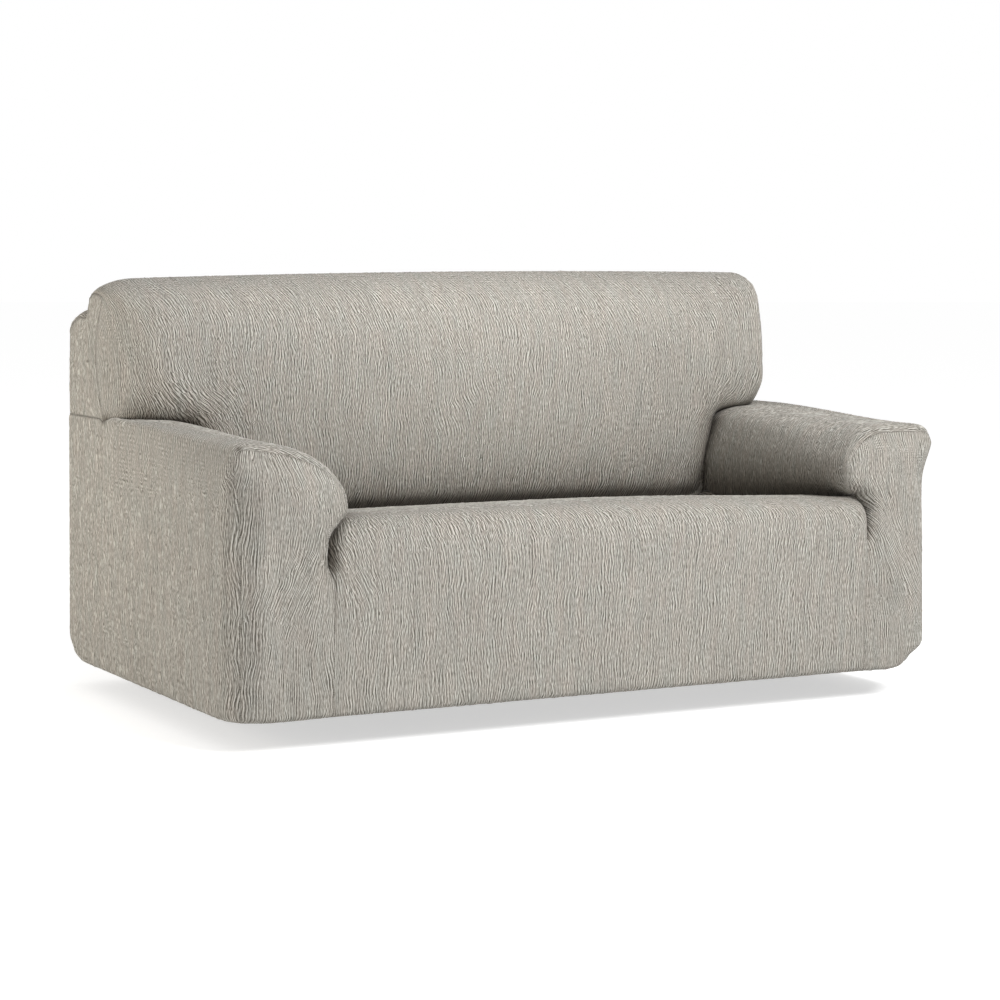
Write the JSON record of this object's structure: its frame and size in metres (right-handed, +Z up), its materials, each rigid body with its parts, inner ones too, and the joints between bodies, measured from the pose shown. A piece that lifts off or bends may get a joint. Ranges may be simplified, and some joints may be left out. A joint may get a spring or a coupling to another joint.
{
  "type": "fitted sofa slipcover",
  "caption": "Fitted stretch cover for a small sofa: a hollow cloth shell with rolled arms, a puffed backrest and a hem that turns in under the frame.",
  "frame": {"origin": "on the inside of the cover under the middle of the backrest's top, where the sofa inside it holds it up", "axes": "+X to the right as seen from the front, +Y from the front of the seat to the rear of the backrest, +Z up"},
  "size_m": [1.6319, 1.0172, 0.8465],
  "materials": {
    "back_front": "matt crinkled stretch crepe, warm light grey",
    "back_rear": "matt crinkled stretch crepe, warm light grey",
    "back_side_left": "matt crinkled stretch crepe, warm light grey",
    "back_side_right": "matt crinkled stretch crepe, warm light grey",
    "seat_front": "matt crinkled stretch crepe, warm light grey",
    "arm_left": "matt crinkled stretch crepe, warm light grey",
    "arm_right": "matt crinkled stretch crepe, warm light grey",
    "arm_front_left": "matt crinkled stretch crepe, warm light grey",
    "arm_front_right": "matt crinkled stretch crepe, warm light grey"
  },
  "bodies": {
    "root": {"back_front": "back_front", "back_rear": "back_rear", "back_side_left": "back_side_left", "back_side_right": "back_side_right", "seat_front": "seat_front", "arm_left": "arm_left", "arm_right": "arm_right", "arm_front_left": "arm_front_left", "arm_front_right": "arm_front_right"}
  },
  "joints": []
}
